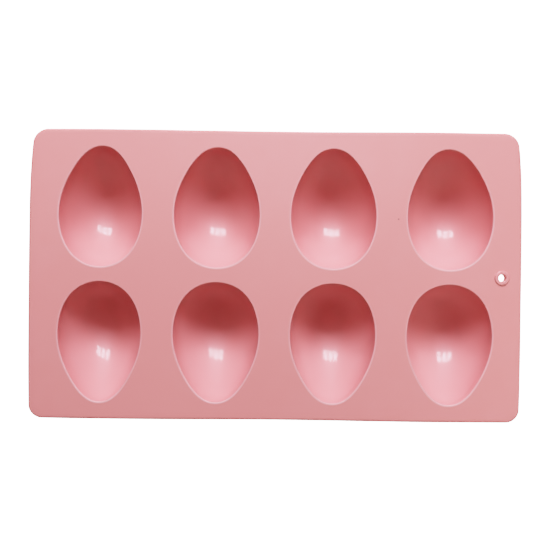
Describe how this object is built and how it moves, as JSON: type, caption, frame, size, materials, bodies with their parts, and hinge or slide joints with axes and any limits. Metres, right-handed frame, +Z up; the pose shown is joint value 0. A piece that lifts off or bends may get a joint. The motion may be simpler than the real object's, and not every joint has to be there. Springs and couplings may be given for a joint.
{
  "type": "silicone soap mould",
  "caption": "Flexible rectangular silicone mould with rows of half-egg cavities, a beaded edge and a hanging hole, for casting soap, wax or resin.",
  "frame": {"origin": "under the middle of the mould, on the surface that its eight cups stand on", "axes": "+X along the length towards the hanging hole, +Y across the width, +Z up out of the cavities"},
  "size_m": [0.296, 0.174, 0.0308],
  "materials": {
    "silicone": "satin pink silicone, glossy inside the cavities"
  },
  "bodies": {
    "root": {"sheet": "silicone", "edge_bead": "silicone", "egg_cup_back_1": "silicone", "egg_cup_back_2": "silicone", "egg_cup_back_3": "silicone", "egg_cup_back_4": "silicone", "egg_cup_front_1": "silicone", "egg_cup_front_2": "silicone", "egg_cup_front_3": "silicone", "egg_cup_front_4": "silicone", "hanging_eyelet": "silicone"}
  },
  "joints": []
}
